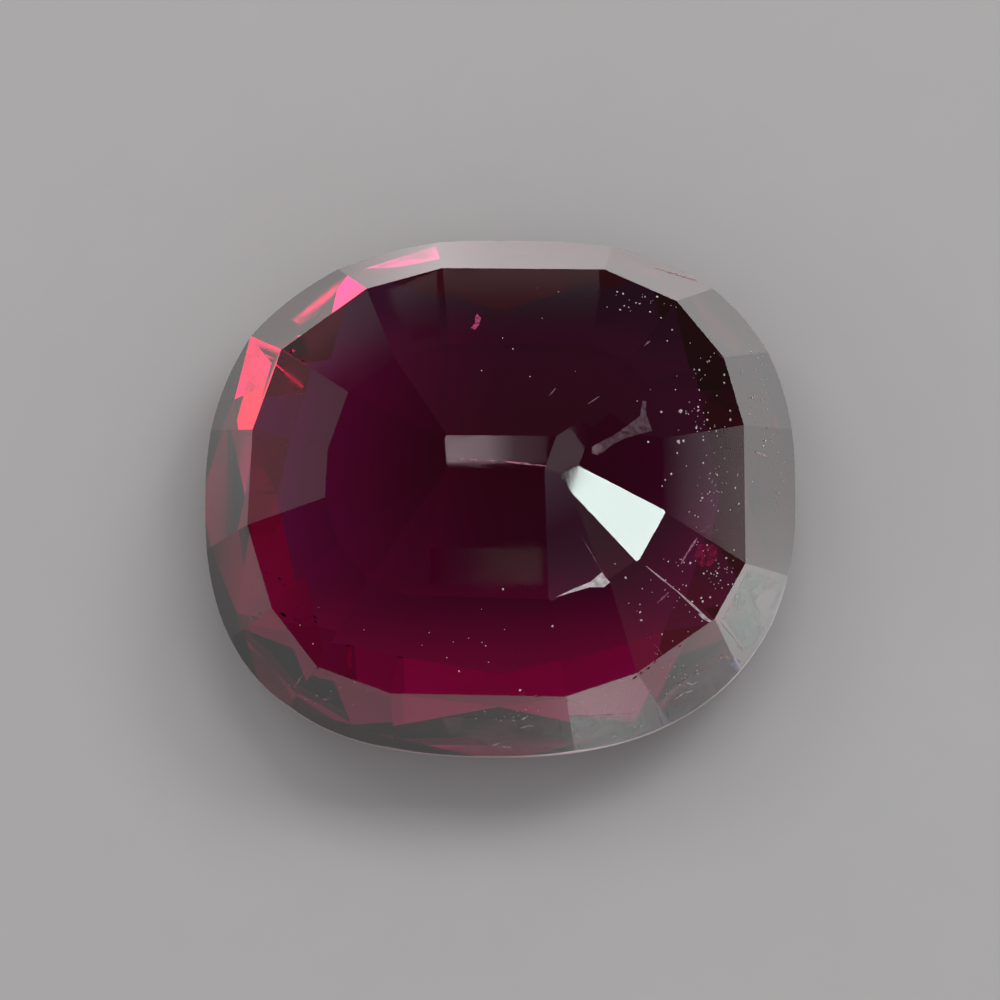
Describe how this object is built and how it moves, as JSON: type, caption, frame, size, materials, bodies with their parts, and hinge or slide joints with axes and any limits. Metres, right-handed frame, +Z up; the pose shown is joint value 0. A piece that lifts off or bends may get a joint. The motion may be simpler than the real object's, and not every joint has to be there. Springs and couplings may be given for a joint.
{
  "type": "rubellite tourmaline gemstone",
  "caption": "Loose faceted cushion-shaped rubellite tourmaline lying on its table, its stepped back rising to a short keel",
  "frame": {"origin": "centre of the stone's outline, on the plane of the table it lies on", "axes": "+X along the stone's length and its keel, +Y across it, +Z up from the table towards the keel"},
  "size_m": [0.011, 0.0098, 0.0059],
  "materials": {
    "rubellite_crystal": "polished"
  },
  "bodies": {
    "root": {"rubellite": "rubellite_crystal"}
  },
  "joints": []
}
